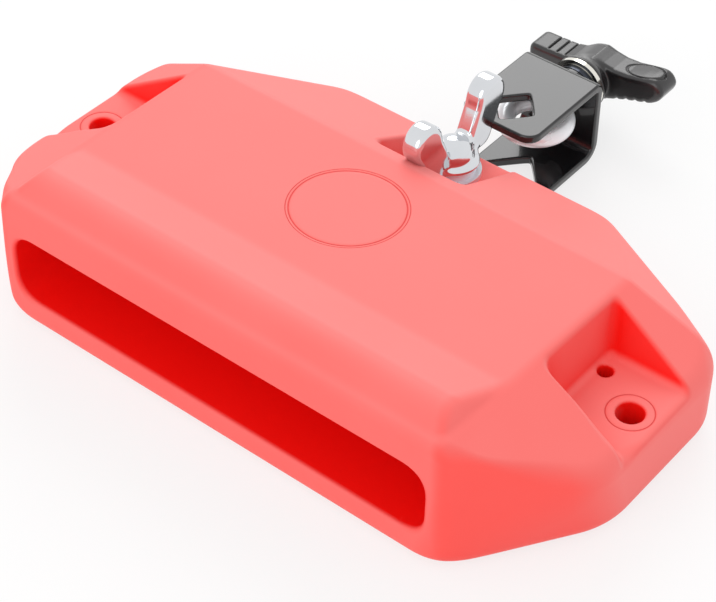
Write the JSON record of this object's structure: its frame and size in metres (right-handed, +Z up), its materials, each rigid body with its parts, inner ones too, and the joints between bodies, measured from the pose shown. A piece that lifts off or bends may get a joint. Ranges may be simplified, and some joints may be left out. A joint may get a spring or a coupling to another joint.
{
  "type": "woodblock",
  "caption": "Moulded plastic woodblock with a long played slot, two screw ears and a swivelling steel rod clamp tightened by a wing handle.",
  "frame": {"origin": "midway between the two ear holes, on the flat underside of the block", "axes": "+X along the block, +Y from the slot towards the rod clamp, +Z up out of the top"},
  "size_m": [0.2194, 0.199, 0.0532],
  "materials": {
    "red_plastic": "satin",
    "black_steel": "gloss",
    "chrome_plate": "polished",
    "zinc_plate": "satin",
    "black_plastic": "satin",
    "brass_insert": "satin"
  },
  "bodies": {
    "block": {"block_body": "red_plastic", "flat_washer": "chrome_plate", "split_washer": "chrome_plate"},
    "bracket": {"clamp_bracket": "black_steel", "weld_nut": "black_steel", "collar_washer": "zinc_plate"},
    "wing_shank": {"wing_shank": "chrome_plate"},
    "wing_head": {"wing_head": "chrome_plate"},
    "eye_bolt": {"eye_bolt": "zinc_plate"},
    "handle": {"wing_handle": "black_plastic", "handle_ferrule": "chrome_plate", "threaded_insert": "brass_insert"}
  },
  "joints": [
    {"name": "bracket_swivel", "type": "hinge", "parent": "block", "child": "bracket", "pos_m": [0, 0.0514, 0], "axis": [0, 0, 1], "range_deg": [-20, 20]},
    {"name": "wing_lift", "type": "slide", "parent": "bracket", "child": "wing_shank", "axis": [0, 0, 1], "range_m": [0, 0.00376]},
    {"name": "wing_turn", "type": "hinge", "parent": "wing_shank", "child": "wing_head", "pos_m": [0, 0.0514, 0.03], "axis": [0, 0, 1], "range_deg": [0, 1080]},
    {"name": "handle_turn", "type": "hinge", "parent": "bracket", "child": "handle", "pos_m": [0, 0.125, 0.0184], "axis": [0, 1, 0], "range_deg": [0, 2520]},
    {"name": "eye_slide", "type": "slide", "parent": "bracket", "child": "eye_bolt", "axis": [0, 1, 0], "range_m": [-0.0089, 0]}
  ],
  "couplings": [
    {"joint": "wing_lift", "follows": "wing_turn", "m_per_rad": 0.00019894},
    {"joint": "eye_slide", "follows": "handle_turn", "m_per_rad": -0.00020213}
  ]
}
